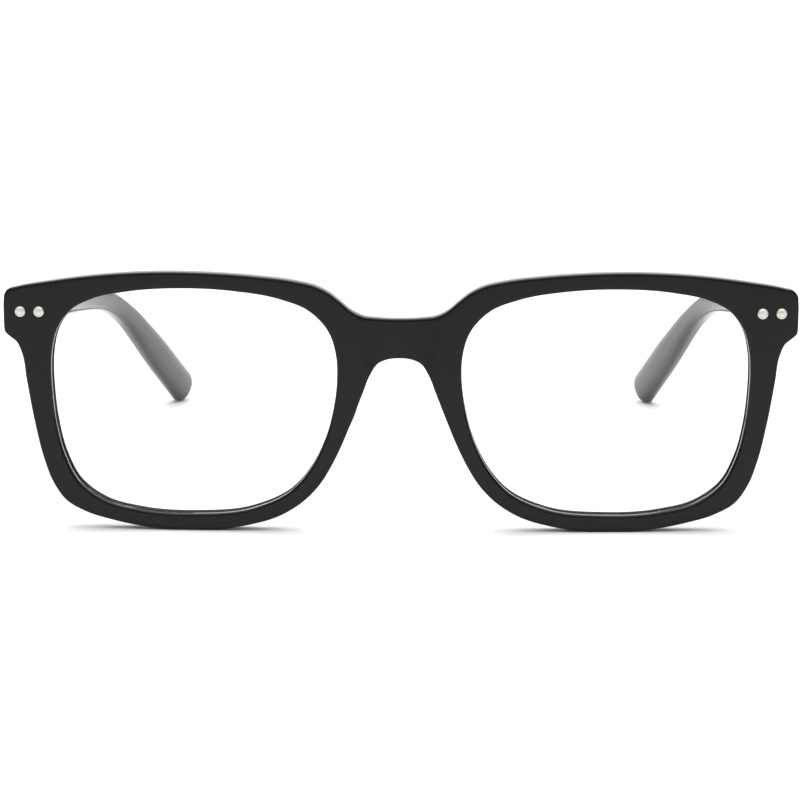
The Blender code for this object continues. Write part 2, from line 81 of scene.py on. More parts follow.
# %% Mesh helpers
def grid_faces(rows, columns, close_rows=False, close_columns=False, keep=None):
    """Quads between neighbours of a rows x columns grid; `keep` is a mask with one value for each quad."""
    index = np.arange(rows * columns).reshape(rows, columns)
    down = np.roll(index, -1, axis=0) if close_rows else index[1:]
    index_here = index if close_rows else index[:-1]
    right, down_right = np.roll(index_here, -1, axis=1), np.roll(down, -1, axis=1)
    quads = np.stack([index_here, right, down_right, down], axis=-1)
    quads = quads if close_columns else quads[:, :-1]
    return quads[keep] if keep is not None else quads.reshape(-1, 4)


MERGE_MM = 0.0005  # points closer together than this are one point


def make_piece(name, points, faces, finishes, body, replaces=()):
    """Makes a mesh of points (in mm) and faces, merges what meets, and hands the piece to the frame."""
    mesh = bpy.data.meshes.new(name)
    mesh.from_pydata(to_world(points).reshape(-1, 3).tolist(), [], np.asarray(faces).tolist())
    for finish in finishes:
        mesh.materials.append(finish)
    shape = bmesh.new()
    shape.from_mesh(mesh)
    bmesh.ops.remove_doubles(shape, verts=shape.verts, dist=MERGE_MM * MM)
    bmesh.ops.delete(shape, geom=[v for v in shape.verts if not v.link_faces], context="VERTS")
    bmesh.ops.recalc_face_normals(shape, faces=shape.faces)
    open_edges = sum(1 for edge in shape.edges if len(edge.link_faces) != 2)
    shape.to_mesh(mesh)
    shape.free()
    mesh.shade_smooth()
    piece = bpy.data.objects.new(name, mesh)
    bpy.context.scene.collection.objects.link(piece)
    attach(piece, body)
    if replaces:
        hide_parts(*replaces)
    print(f"{name}: {len(mesh.polygons)} faces, {open_edges} open edges")
    return piece


# %% [markdown]
# ## Smooth curves through a few points
# The front's shape comes from two fitted lists in millimetres: points on half of its outline, and points
# round one lens opening. A cubic piece between two points, whose slope at each point blends the two chords
# that meet there, gives a curve that passes through every point and never swings far from them.

# %% The two outlines
OUTER_HALF = [
    (0.0, 38.3), (4.2, 38.5), (6.3, 38.8), (8.5, 39.85), (10.55, 41.55), (12.65, 43.15), (14.85, 44.2),
    (18.5, 45.05), (25.5, 45.9), (34.0, 46.45), (42.6, 46.55), (53.2, 45.95), (61.75, 44.85), (68.2, 43.7),
    (69.6, 43.3), (70.25, 42.45), (70.45, 41.0), (70.5, 37.0), (70.3, 35.6), (69.4, 34.75), (68.3, 33.85),
    (67.45, 32.0), (66.65, 26.95), (65.45, 19.7), (63.8, 12.45), (62.45, 8.7), (59.9, 5.05), (56.7, 3.2),
    (51.25, 1.55), (43.05, 0.2), (34.3, 0.0), (27.55, 0.9), (21.35, 2.75), (17.15, 5.4), (14.15, 8.55),
    (12.3, 11.5), (10.75, 14.55), (8.55, 19.75), (6.45, 25.15), (5.15, 28.4), (3.85, 30.3), (2.15, 31.05),
    (0.0, 31.25),
]
OPENING = [
    (62.15, 28.8), (61.9, 32.4), (60.9, 36.2), (58.35, 39.65), (54.65, 41.6), (48.2, 43.0), (38.3, 43.65),
    (29.25, 43.2), (21.1, 41.8), (16.0, 39.75), (12.6, 36.15), (11.2, 31.65), (11.05, 28.0), (11.65, 22.6),
    (13.4, 16.25), (15.7, 11.65), (19.15, 7.55), (26.5, 4.05), (36.2, 3.0), (46.7, 3.6), (52.95, 5.25),
    (57.6, 8.7), (60.0, 13.4), (61.5, 19.7), (62.05, 25.4),
]
FRONT_WIDTH = 141.0
OUTLINE_STEPS = 10
OPENING_STEPS = 80


def smooth_loop(points, steps):
    """A closed curve through the points, in cubics that leave and arrive at the blended slopes."""
    here = np.array(points)
    after = np.roll(here, -1, axis=0)
    ahead = np.linalg.norm(after - here, axis=1)[:, None]
    behind = np.roll(ahead, 1, axis=0)
    before = np.roll(here, 1, axis=0)
    slope = ((here - before) / behind * ahead + (after - here) / ahead * behind) / (ahead + behind)
    t = (np.arange(steps) / steps)[None, :, None]
    start, end = here[:, None], after[:, None]
    leave, arrive = (slope * ahead)[:, None], (np.roll(slope, -1, axis=0) * ahead)[:, None]
    curve = start + t * leave + t**2 * (3 * (end - start) - 2 * leave - arrive)
    curve = curve + t**3 * (2 * (start - end) + leave + arrive)
    return curve.reshape(-1, 2)


def loop_normals(loop):
    """Unit vectors square to a closed loop, on the right of its direction."""
    along = np.roll(loop, -1, axis=0) - np.roll(loop, 1, axis=0)
    along /= np.linalg.norm(along, axis=1)[:, None]
    return np.stack([along[:, 1], -along[:, 0]], axis=1)


mirrored = [(-x, z) for x, z in reversed(OUTER_HALF[1:-1])]
whole_outline = smooth_loop([*OUTER_HALF, *mirrored], OUTLINE_STEPS)
whole_outline[:, 0] = np.clip(whole_outline[:, 0], -FRONT_WIDTH / 2, FRONT_WIDTH / 2)
whole_outline[:, 1] = np.maximum(whole_outline[:, 1], 0.0)
half_count = (len(OUTER_HALF) - 1) * OUTLINE_STEPS + 1
outline = whole_outline[:half_count]
outline_inwards = loop_normals(whole_outline)[:half_count]
opening = smooth_loop(OPENING, OPENING_STEPS)
opening_outwards = loop_normals(opening)
print("opening:", np.ptp(opening, axis=0).round(2), "mm; outline points on one half:", half_count)

# %% [markdown]
# ## The front
# A plastic front is milled from one gently curved sheet, then tumbled until its edges are soft. Its shape
# is a section carried round each rim: across the face, round the outer edge, back along the rear, and
# through the wall of the opening, where a groove holds the lens. Each ruling leaves the opening square to
# it, so it starts at the point of the opening nearest to its point of the outline. At the bridge the
# section stays open, and the mirrored half closes it. This gives long clean strips of faces, which is what
# a glossy black surface needs: it shows every dent.

# %% The section of a rim
FRONT_THICKNESS = 4.0
BASE_RADIUS = 1000.0
FACE_ROWS, REAR_ROWS, ARC_ROWS, CUT_COLUMNS = 40, 10, 7, 24
INNER_FRONT_RADIUS, INNER_REAR_RADIUS = 0.5, 0.5
OUTER_FRONT_RADIUS, OUTER_REAR_RADIUS = 0.45, 0.8
GROOVE_Y, GROOVE_HALF_WIDTH, GROOVE_DEPTH = 2.1, 1.0, 0.6
CROWN, CROWN_REACH = 0.02, 0.5
END_PIECE_BACK, REAR_SOFTNESS = 6.02, 0.03  # the end piece is faced off flat behind, for the hinge
RULING_WINDOW = 15  # columns over which the places where the rulings start are averaged
DISTANCE_PARTS = 40  # distances from many points are worked out in this many parts, to spare memory


def arc(radius, rows):
    """A quarter circle from the face round to the wall: how far it lies inside the corner's two sides."""
    angle = np.linspace(0.0, math.pi / 2, rows)
    return np.column_stack([radius * (1 - np.sin(angle)), radius * (1 - np.cos(angle))])


def wall_profile(front_radius, rear_radius, groove=()):
    """Rows (distance from the wall, Y) from the end of the face to the start of the rear."""
    front = arc(front_radius, ARC_ROWS)[1:]
    rear = arc(rear_radius, ARC_ROWS)[::-1][:-1] * (1, -1) + (0, FRONT_THICKNESS)
    return np.vstack([front, *groove, rear])


def wrap(x):
    """The curve of the sheet: Y grows with the square of X."""
    return x**2 / (2 * BASE_RADIUS)


def smooth_max(a, b, softness):
    """The larger of two values, with the corner between them rounded."""
    return 0.5 * (a + b + np.sqrt((a - b) ** 2 + softness**2))


def nearest_distance(points, line):
    """The distance from each point to the nearest point of a line."""
    flat = points.reshape(-1, 2)
    chunks = np.array_split(flat, DISTANCE_PARTS)
    parts = [np.sqrt(((chunk[:, None] - line[None]) ** 2).sum(-1)).min(1) for chunk in chunks]
    return np.concatenate(parts).reshape(points.shape[:-1])


# %% The bridge's hollow and the crown of the face
SCOOP_DEPTH, SCOOP_SOFTNESS = 1.0, 0.13
SCOOP_MIDDLE, SCOOP_HALF_WIDTH, SCOOP_WIDENING, SCOOP_LEAN = 34.6, 6.75, 0.27, 0.012


def face_y(points):
    """Y of the face at (X, Z): the sheet's curve, a soft fall at both edges, and the bridge's hollow."""
    x, z = points[..., 0], points[..., 1]
    to_outer = nearest_distance(points, whole_outline) - OUTER_FRONT_RADIUS
    to_opening = nearest_distance(points, opening) - INNER_FRONT_RADIUS
    at_outer = np.exp(-np.maximum(to_outer, 0) / CROWN_REACH)
    at_opening = np.exp(-np.maximum(to_opening, 0) / CROWN_REACH)
    fall = CROWN * (at_outer + at_opening)
    half_width = SCOOP_HALF_WIDTH + (z - SCOOP_MIDDLE) * SCOOP_WIDENING
    scoop = SCOOP_DEPTH * (1 - (x / half_width) ** 2) - SCOOP_LEAN * (z - SCOOP_MIDDLE)
    return wrap(x) + fall + smooth_max(scoop, np.zeros_like(scoop), SCOOP_SOFTNESS)


def rear_y(points):
    """Y of the rear at (X, Z): parallel to the sheet's curve, and flat behind the end pieces."""
    sheet = FRONT_THICKNESS + wrap(points[..., 0])
    flat = END_PIECE_BACK * np.ones(points.shape[:-1])
    return -smooth_max(-sheet, -flat, REAR_SOFTNESS)


# %% Make both halves of the front
def rim_half():
    """Points of the right half, as columns round the rim and rows round its section, and faces to keep."""
    top, bottom = outline[0, 1], outline[-1, 1]
    cut = np.linspace(0, 1, CUT_COLUMNS + 2)[1:-1]
    columns = len(outline) + CUT_COLUMNS

    def outer_line(inset):
        """The outline moved inwards, closed by the cut at the middle of the bridge."""
        shifted = outline + outline_inwards * inset
        shifted[[0, -1], 0] = 0.0
        cut_z = (bottom + inset) + (top - bottom - 2 * inset) * cut
        return np.vstack([shifted, np.column_stack([np.zeros(CUT_COLUMNS), cut_z])])

    guide = outer_line(OUTER_FRONT_RADIUS)
    gaps = ((guide[:, None] - opening[None]) ** 2).sum(-1)
    place = np.unwrap(gaps.argmin(1) * (2 * math.pi / len(opening)))
    turns = np.concatenate([place + 2 * math.pi, place, place - 2 * math.pi])
    kernel = np.hanning(RULING_WINDOW) / np.hanning(RULING_WINDOW).sum()
    place = np.convolve(turns, kernel, mode="same")[columns : 2 * columns] % (2 * math.pi)
    exact = place / (2 * math.pi) * len(opening)
    first, share = np.floor(exact).astype(int) % len(opening), (exact % 1)[:, None]
    second = (first + 1) % len(opening)
    inner = opening[first] * (1 - share) + opening[second] * share
    inner_out = opening_outwards[first] * (1 - share) + opening_outwards[second] * share
    inner_out /= np.linalg.norm(inner_out, axis=1)[:, None]

    def ruled(from_inset, to_inset, rows):
        """Straight rows of points from the opening to the outline."""
        start, end = inner + inner_out * from_inset, outer_line(to_inset)
        t = np.linspace(0, 1, rows)[None, :, None]
        return start[:, None] * (1 - t) + end[:, None] * t

    def wall(profile, base, offset):
        """Rows along a wall: places on its loop, and Y as a share of the way from the face to the rear."""
        flat = np.stack([offset(distance) for distance in profile[:, 0]], axis=1)
        face, rear = face_y(base[0])[:, None], rear_y(base[1])[:, None]
        share = profile[:, 1][None] / FRONT_THICKNESS
        return np.concatenate([flat, (face * (1 - share) + rear * share)[..., None]], axis=-1)

    face = ruled(INNER_FRONT_RADIUS, OUTER_FRONT_RADIUS, FACE_ROWS)
    rear = ruled(INNER_REAR_RADIUS, OUTER_REAR_RADIUS, REAR_ROWS)
    outer_wall = wall_profile(OUTER_FRONT_RADIUS, OUTER_REAR_RADIUS)
    lips = (GROOVE_Y - GROOVE_HALF_WIDTH, GROOVE_Y + GROOVE_HALF_WIDTH)
    groove = np.array([(0.0, lips[0]), (GROOVE_DEPTH, lips[0]), (GROOVE_DEPTH, lips[1]), (0.0, lips[1])])
    inner_wall = wall_profile(INNER_FRONT_RADIUS, INNER_REAR_RADIUS, [groove])
    outer = wall(outer_wall, (face[:, -1], rear[:, -1]), outer_line)
    inside = wall(inner_wall, (face[:, 0], rear[:, 0]), lambda inset: inner + inner_out * inset)
    front_rows = np.concatenate([face, face_y(face)[..., None]], axis=-1)
    rear_rows = np.concatenate([rear, rear_y(rear)[..., None]], axis=-1)
    section = np.concatenate([front_rows, outer, rear_rows[:, ::-1], inside[:, ::-1]], axis=1)
    rows = section.shape[1]
    keep = np.ones((columns, rows), bool)
    keep[len(outline) - 1 :, FACE_ROWS - 1 : FACE_ROWS + outer.shape[1]] = False
    return section[..., [0, 2, 1]], keep


half_points, keep_faces = rim_half()
columns, rows = half_points.shape[:2]
half_faces = grid_faces(columns, rows, close_rows=True, close_columns=True, keep=keep_faces)
front_points = np.concatenate([half_points.reshape(-1, 3), half_points.reshape(-1, 3) * (-1, 1, 1)])
front_faces = np.concatenate([half_faces, half_faces[:, ::-1] + columns * rows])
print("front:", columns, "columns round a rim,", rows, "rows round its section")

# %% [markdown]
# ## Finishes that more than one material shares
# Polished plastic is never perfectly even: the tumbling leaves a slow waviness, cloths leave hairlines, and
# handling leaves a faint haze. Steel parts are drawn or brushed, with a grain along one direction. Each of
# these is a node group with named inputs, built once, so that every material can take its own amount.

# %% Node helpers
class Nodes:
    """A short way to place and link shader nodes in one tree."""

    def __init__(self, tree):
        self.tree = tree

    def add(self, kind, *links, **settings):
        """Adds a node; `links` are (input, value or socket) pairs, `settings` its own properties."""
        node = self.tree.nodes.new(kind)
        for key, value in settings.items():
            setattr(node, key, value)
        for key, value in links:
            if isinstance(value, bpy.types.NodeSocket):
                self.tree.links.new(value, node.inputs[key])
            else:
                node.inputs[key].default_value = value
        return node

    def math(self, operation, first, second=0.0, clamp=False):
        links = ((0, first), (1, second))
        return self.add("ShaderNodeMath", *links, operation=operation, use_clamp=clamp).outputs[0]

    def noise(self, vector, scale, detail=3.0, roughness=0.5):
        links = (("Vector", vector), ("Scale", scale), ("Detail", detail), ("Roughness", roughness))
        return self.add("ShaderNodeTexNoise", *links).outputs["Fac"]

    def spread(self, value, low, high, to_low, to_high):
        """A value between `low` and `high` made one between `to_low` and `to_high`, and held outside."""
        links = (("Value", value), ("From Min", low), ("From Max", high))
        links += (("To Min", to_low), ("To Max", to_high))
        return self.add("ShaderNodeMapRange", *links).outputs["Result"]

    def mix_colour(self, share, first, second):
        links = (("Factor", share), ("A", first), ("B", second))
        node = self.tree.nodes.new("ShaderNodeMix")
        node.data_type = "RGBA"
        sockets = {"Factor": node.inputs[0], "A": node.inputs[6], "B": node.inputs[7]}
        for key, value in links:
            if isinstance(value, bpy.types.NodeSocket):
                self.tree.links.new(value, sockets[key])
            else:
                sockets[key].default_value = value
        return node.outputs[2]


def new_group(name, inputs, outputs):
    """An empty node group with named sockets; gives its nodes and its input and output ends."""
    tree = bpy.data.node_groups.new(name, "ShaderNodeTree")
    for label, kind, value in inputs:
        socket = tree.interface.new_socket(label, in_out="INPUT", socket_type=kind)
        if value is not None:
            socket.default_value = value
    for label, kind in outputs:
        tree.interface.new_socket(label, in_out="OUTPUT", socket_type=kind)
    nodes = Nodes(tree)
    return nodes, nodes.add("NodeGroupInput").outputs, nodes.add("NodeGroupOutput").inputs


FLOAT, VECTOR, COLOUR = "NodeSocketFloat", "NodeSocketVector", "NodeSocketColor"
MM_IN_METRE = 1000.0

# %% Group: polished plastic
HAIRLINE_TURN, HAIRLINE_STRETCH, HAIRLINE_SCALE = (0.0, 0.5, 0.2), (1.0, 1.0, 26.0), 260.0
HAIRLINE_BAND, HAZE_BAND, DRIFT_BAND = (0.62, 0.75), (0.4, 0.75), (0.35, 0.7)  # of each noise, made 0 to 1
HAIRLINE_DEPTH, HAIRLINE_ROUGHNESS = 0.02, 0.05
HAZE_SCALE, DRIFT_SCALE = 70.0, 120.0


def build_polish():
    """Waves and hairlines as a height, haze that roughens the gloss in patches, and a drift of colour."""
    inputs = [
        ("Vector", VECTOR, None), ("Wave Size mm", FLOAT, 9.0), ("Wave Height", FLOAT, 0.6),
        ("Hairlines", FLOAT, 0.5), ("Roughness", FLOAT, 0.08), ("Haze", FLOAT, 0.05),
        ("Colour", COLOUR, (0.01, 0.01, 0.01, 1)), ("Depth Colour", COLOUR, (0.02, 0.015, 0.01, 1)),
    ]
    outputs = [("Height", FLOAT), ("Roughness", FLOAT), ("Colour", COLOUR)]
    nodes, given, out = new_group("polished_plastic", inputs, outputs)
    wave_scale = nodes.math("DIVIDE", MM_IN_METRE, given["Wave Size mm"])
    wave = nodes.noise(given["Vector"], wave_scale, detail=1.0)
    turned = (("Vector", given["Vector"]), ("Rotation", HAIRLINE_TURN), ("Scale", HAIRLINE_STRETCH))
    stretch = nodes.add("ShaderNodeMapping", *turned)
    hairline = nodes.noise(stretch.outputs[0], HAIRLINE_SCALE, detail=4.0, roughness=0.7)
    hairline = nodes.math("MULTIPLY", nodes.spread(hairline, *HAIRLINE_BAND, 0.0, 1.0), given["Hairlines"])
    height = nodes.math("MULTIPLY", wave, given["Wave Height"])
    lines = nodes.math("MULTIPLY", hairline, HAIRLINE_DEPTH)
    nodes.tree.links.new(nodes.math("SUBTRACT", height, lines), out["Height"])
    haze = nodes.noise(given["Vector"], HAZE_SCALE, detail=5.0, roughness=0.65)
    haze = nodes.spread(haze, *HAZE_BAND, 0.0, 1.0)
    rough = nodes.math("ADD", given["Roughness"], nodes.math("MULTIPLY", haze, given["Haze"]))
    rough = nodes.math("ADD", rough, nodes.math("MULTIPLY", hairline, HAIRLINE_ROUGHNESS))
    nodes.tree.links.new(rough, out["Roughness"])
    mottle = nodes.spread(nodes.noise(given["Vector"], DRIFT_SCALE, detail=2.0), *DRIFT_BAND, 0.0, 1.0)
    nodes.tree.links.new(nodes.mix_colour(mottle, given["Colour"], given["Depth Colour"]), out["Colour"])
    return nodes.tree


POLISH = build_polish()

# %% Group: brushed steel
GRAINS_IN_CELL = 10.0  # one cell of the noise spans this many grains
TARNISH_SCALE, TARNISH_BAND = 900.0, (0.45, 0.7)


def build_brushed():
    """A grain stretched along one direction, as a height and as roughness, and patches of tarnish."""
    inputs = [
        ("Vector", VECTOR, None), ("Stretch", VECTOR, (1.0, 1.0, 14.0)), ("Grain Size mm", FLOAT, 0.12),
        ("Roughness", FLOAT, 0.25), ("Grain", FLOAT, 0.15), ("Colour", COLOUR, (0.7, 0.7, 0.7, 1)),
        ("Tarnish Colour", COLOUR, (0.5, 0.45, 0.38, 1)), ("Tarnish", FLOAT, 0.15),
    ]
    outputs = [("Height", FLOAT), ("Roughness", FLOAT), ("Colour", COLOUR)]
    nodes, given, out = new_group("brushed_steel_grain", inputs, outputs)
    factors = ((0, given["Vector"]), (1, given["Stretch"]))
    stretched = nodes.add("ShaderNodeVectorMath", *factors, operation="MULTIPLY")
    scale = nodes.math("DIVIDE", MM_IN_METRE, given["Grain Size mm"])
    scale = nodes.math("DIVIDE", scale, GRAINS_IN_CELL)
    grain = nodes.noise(stretched.outputs[0], scale, detail=4.0, roughness=0.75)
    nodes.tree.links.new(grain, out["Height"])
    swing = nodes.math("MULTIPLY", nodes.math("SUBTRACT", grain, 0.5), given["Grain"])
    nodes.tree.links.new(nodes.math("ADD", given["Roughness"], swing, clamp=True), out["Roughness"])
    patches = nodes.spread(nodes.noise(given["Vector"], TARNISH_SCALE, detail=3.0), *TARNISH_BAND, 0.0, 1.0)
    share = nodes.math("MULTIPLY", patches, given["Tarnish"])
    nodes.tree.links.new(nodes.mix_colour(share, given["Colour"], given["Tarnish Colour"]), out["Colour"])
    return nodes.tree


BRUSHED = build_brushed()

# %% [markdown]
# ## The materials
# A material is a Principled shader fed by one of the groups. Numbers that are the same all over a surface
# stay on the shader's own sockets. The lens is a special case: an anti-glare film on clear plastic is
# almost nothing seen straight on and a clear mirror seen from the side, so it is a thin mirror whose alpha
# grows towards grazing angles.

# %% Make the materials
PLASTIC_IOR, WAVE_HEIGHT, HAIRLINES = 1.32, 0.5, 0.4
PLASTIC_BUMP, STEEL_BUMP = (0.25, 0.00003), (0.3, 0.000008)  # strength, and height in metres
FILM_STRAIGHT, FILM_EDGE, FILM_TURN = (0.84, 0.89, 0.94, 1), (0.95, 0.97, 0.98, 1), (0.05, 0.8)
FILM_POWER, FILM_GAIN, FILM_LEAST = 3.0, 0.55, 0.022
SMUDGE_SCALE, SMUDGE_BAND, SMUDGE_ROUGHNESS = 60.0, (0.35, 0.8), (0.015, 0.045)


def new_material(name):
    """An empty material with a Principled shader; gives its nodes, the shader and the piece's own place."""
    made = bpy.data.materials.new(name)
    made.use_nodes = True
    made.node_tree.nodes.clear()
    nodes = Nodes(made.node_tree)
    shader = nodes.add("ShaderNodeBsdfPrincipled")
    output = nodes.add("ShaderNodeOutputMaterial", ("Surface", shader.outputs[0]))
    output.is_active_output = True
    place = nodes.add("ShaderNodeTexCoord").outputs["Object"]
    return made, nodes, shader, place


def use_group(nodes, tree, place, values):
    """Places a group in a material with that material's own values, and gives its outputs."""
    node = nodes.add("ShaderNodeGroup", node_tree=tree)
    nodes.tree.links.new(place, node.inputs["Vector"])
    for key, value in values.items():
        node.inputs[key].default_value = value
    return node.outputs


def drive(nodes, shader, effect, bump_strength, bump_distance):
    """Feeds a group's height, roughness and colour into a shader."""
    links = (("Strength", bump_strength), ("Distance", bump_distance), ("Height", effect["Height"]))
    bump = nodes.add("ShaderNodeBump", *links)
    nodes.tree.links.new(bump.outputs[0], shader.inputs["Normal"])
    nodes.tree.links.new(effect["Roughness"], shader.inputs["Roughness"])
    nodes.tree.links.new(effect["Colour"], shader.inputs["Base Color"])


def plastic(name, colour, deep, roughness, haze):
    made, nodes, shader, place = new_material(name)
    values = {"Colour": (*colour, 1), "Depth Colour": (*deep, 1), "Roughness": roughness, "Haze": haze}
    values |= {"Wave Height": WAVE_HEIGHT, "Hairlines": HAIRLINES}
    drive(nodes, shader, use_group(nodes, POLISH, place, values), *PLASTIC_BUMP)
    shader.inputs["IOR"].default_value = PLASTIC_IOR
    return made


def steel(name, colour, tarnish, roughness, grain, stretch, tarnish_share):
    made, nodes, shader, place = new_material(name)
    values = {"Colour": (*colour, 1), "Tarnish Colour": (*tarnish, 1), "Roughness": roughness, "Grain": grain}
    values |= {"Stretch": stretch, "Tarnish": tarnish_share}
    drive(nodes, shader, use_group(nodes, BRUSHED, place, values), *STEEL_BUMP)
    shader.inputs["Metallic"].default_value = 1.0
    return made


def lens_film(name):
    """A thin mirror: its alpha is a little, plus a power of how far the surface turns from the eye."""
    made, nodes, shader, place = new_material(name)
    facing = nodes.add("ShaderNodeLayerWeight", ("Blend", 0.5)).outputs["Facing"]
    tone = nodes.mix_colour(nodes.spread(facing, *FILM_TURN, 0.0, 1.0), FILM_STRAIGHT, FILM_EDGE)
    smudge = nodes.noise(place, SMUDGE_SCALE, detail=6.0, roughness=0.7)
    smudge = nodes.spread(smudge, *SMUDGE_BAND, *SMUDGE_ROUGHNESS)
    steep = nodes.math("POWER", facing, FILM_POWER)
    alpha = nodes.math("ADD", nodes.math("MULTIPLY", steep, FILM_GAIN), FILM_LEAST, clamp=True)
    nodes.tree.links.new(tone, shader.inputs["Base Color"])
    nodes.tree.links.new(smudge, shader.inputs["Roughness"])
    nodes.tree.links.new(alpha, shader.inputs["Alpha"])
    shader.inputs["Metallic"].default_value = 1.0
    return made


BLACK = plastic("black_polished_plastic", (0.0022, 0.0022, 0.0024), (0.0036, 0.0033, 0.003), 0.06, 0.05)
PAD_BLACK = plastic("black_pad_plastic", (0.003, 0.003, 0.003), (0.005, 0.0045, 0.004), 0.12, 0.08)
LENS_FILM = lens_film("coated_clear_lens")
RIVET = steel("rivet_steel", (0.72, 0.705, 0.655), (0.58, 0.52, 0.42), 0.34, 0.12, (1.0, 6.0, 1.0), 0.4)
HINGE_STEEL = steel("hinge_steel", (0.66, 0.65, 0.63), (0.5, 0.46, 0.4), 0.28, 0.2, (1.0, 1.0, 14.0), 0.2)
SCREW_STEEL = steel("screw_steel", (0.60, 0.59, 0.57), (0.45, 0.42, 0.38), 0.24, 0.15, (12.0, 1.0, 1.0), 0.25)
CORE_STEEL = steel("core_steel", (0.5, 0.5, 0.5), (0.4, 0.38, 0.35), 0.4, 0.2, (1.0, 0.1, 1.0), 0.2)
print("materials:", len(bpy.data.materials))

# %% Place the front
make_piece("front", front_points, front_faces, [BLACK], "front", ["frame_front"])

# %% [markdown]
# ## The lenses
# A lens is cut a little larger than its opening, so that its edge snaps into the groove. The two faces
# bulge by well under a millimetre, because these lenses only filter light. The surface is polar: rings from
# the middle of the lens out to its edge on the front, round the edge, and back to the middle behind.

# %% Make the lenses
LENS_HALF_THICKNESS, LENS_BULGE = 0.78, 0.55
LENS_INTO_GROOVE, EDGE_ROUNDING = 0.45, 0.12
LENS_RINGS, LENS_SPOKES = 26, 200
RING_CROWDING = 0.8  # below 1, the rings lie closer together towards the edge


def lens_points():
    """Rings of the right lens: Y is the groove's, less a bulge that falls as the square of the radius."""
    middle = (opening.max(0) + opening.min(0)) / 2
    pick = np.arange(LENS_SPOKES) * len(opening) // LENS_SPOKES
    edge, out = opening[pick], opening_outwards[pick]
    tip = edge + out * LENS_INTO_GROOVE
    inside = tip - out * EDGE_ROUNDING
    share = np.linspace(0, 1, LENS_RINGS) ** RING_CROWDING
    flat = middle + (inside - middle)[None] * share[:, None, None]
    bulge = LENS_BULGE * (1 - share**2)[:, None]
    base = wrap(flat[..., 0]) + GROOVE_Y
    front = np.dstack([flat[..., 0], base - bulge - LENS_HALF_THICKNESS, flat[..., 1]])
    rear = np.dstack([flat[..., 0], base - bulge + LENS_HALF_THICKNESS, flat[..., 1]])
    sides = np.array([-1, 1])[:, None] * (LENS_HALF_THICKNESS - EDGE_ROUNDING)
    around = np.repeat(tip[None], 2, axis=0)
    ring = np.dstack([around[..., 0], wrap(around[..., 0]) + GROOVE_Y + sides, around[..., 1]])
    return np.concatenate([front, ring, rear[::-1]])


lens_grid = lens_points()
lens_faces = grid_faces(len(lens_grid), LENS_SPOKES, close_columns=True)
for side, sign in SIDES.items():
    make_piece(
        f"lens_{side}_clear", lens_grid * (sign, 1, 1), lens_faces, [LENS_FILM], "front",
        [f"lens_{side}"],
    )

# %% [markdown]
# ## The temples
# A temple starts as a flat strip with the section of the end piece, thins along the shaft, bends down
# behind the ear, and widens again into a broad round tip that also turns inwards. Its centreline follows
# two slopes, each a smooth step from one angle to another; a rounded rectangle is carried along it. The
# rectangle is a superellipse: cosine and sine raised to a power, boxy where the power is small and nearly
# an ellipse where it is large.

# %% The temple's centreline and section
TEMPLE_START, TEMPLE_LINE_END, TEMPLE_END = 6.55, 138.32, 138.85
TEMPLE_X, TEMPLE_DROP = 67.45, 37.355
TEMPLE_SLOPE, TIP_SLOPE, BOW_ANGLE = math.radians(5.9), math.radians(30.0), math.radians(10.55)
BEND_START, BEND_END, BOW_START, BOW_END = 68.0, 108.0, 38.0, 99.5
TEMPLE_WIDTHS = ((6.0, 6.8), (20.0, 6.4), (60.0, 4.9), (95.0, 4.6), (118.0, 7.2), (139.0, 7.6))
TEMPLE_THICKNESSES = ((6.0, 4.3), (20.0, 4.3), (60.0, 4.0), (100.0, 4.1), (139.0, 4.2))
TEMPLE_SHAFT_RINGS, TEMPLE_TIP_RINGS, TEMPLE_SIDES, LINE_STEPS = 150, 26, 72, 600
END_ROUNDING, END_RINGS = 0.35, 5
UPRIGHT_UNTIL = 22.0  # the front end stands upright; from here on the section is square to the line
BOXY, SHAFT_ROUNDER, TIP_ROUNDER = 0.3, 0.42, 0.14  # the superellipse's power, and what is added to it
SHAFT_ROUNDING, TIP_ROUNDING = (17.0, 38.0), (100.0, 130.0)  # where it is added
TIP_FULLNESS = 3.4  # how late the tip's thickness closes
TABLE_REACH, TABLE_SAMPLES = 4.0, 17
TIP_ROLL, ROLL_START, ROLL_END = math.radians(14.0), 75.0, 120.0  # the tips lean inwards at the top


def smooth_step(value, start, end):
    """0 before the start, 1 after the end, and a smooth S between."""
    t = np.clip((value - start) / (end - start), 0.0, 1.0)
    return t * t * (3.0 - 2.0 * t)


def drift(angles, y):
    """How far a line moves sideways from its start, when it makes these angles with Y."""
    return np.concatenate([[0.0], np.cumsum(np.tan((angles[1:] + angles[:-1]) / 2) * np.diff(y))])


def temple_line(y, drop):
    """The right temple's centreline at each Y: X falls with the bow, Z with the slope of shaft and tip."""
    fine = np.linspace(TEMPLE_START, TEMPLE_LINE_END, LINE_STEPS)
    slope = TEMPLE_SLOPE + (TIP_SLOPE - TEMPLE_SLOPE) * smooth_step(fine, BEND_START, BEND_END)
    fall = drift(slope, fine) / drift(slope, fine)[-1] * drop
    inwards = drift(BOW_ANGLE * smooth_step(fine, BOW_START, BOW_END), fine)
    past = np.maximum(y - fine[-1], 0.0)
    z = HINGE["z"] - np.interp(y, fine, fall) - past * math.tan(TIP_SLOPE)
    x = TEMPLE_X - np.interp(y, fine, inwards) - past * math.tan(BOW_ANGLE)
    return np.column_stack([x, y, z])


def even_table(table, y):
    """A value read from a short table, with its corners rounded by averaging over a reach both ways."""
    reach = np.linspace(-TABLE_REACH, TABLE_REACH, TABLE_SAMPLES)
    return np.interp(y[:, None] + reach[None], *zip(*table)).mean(1)


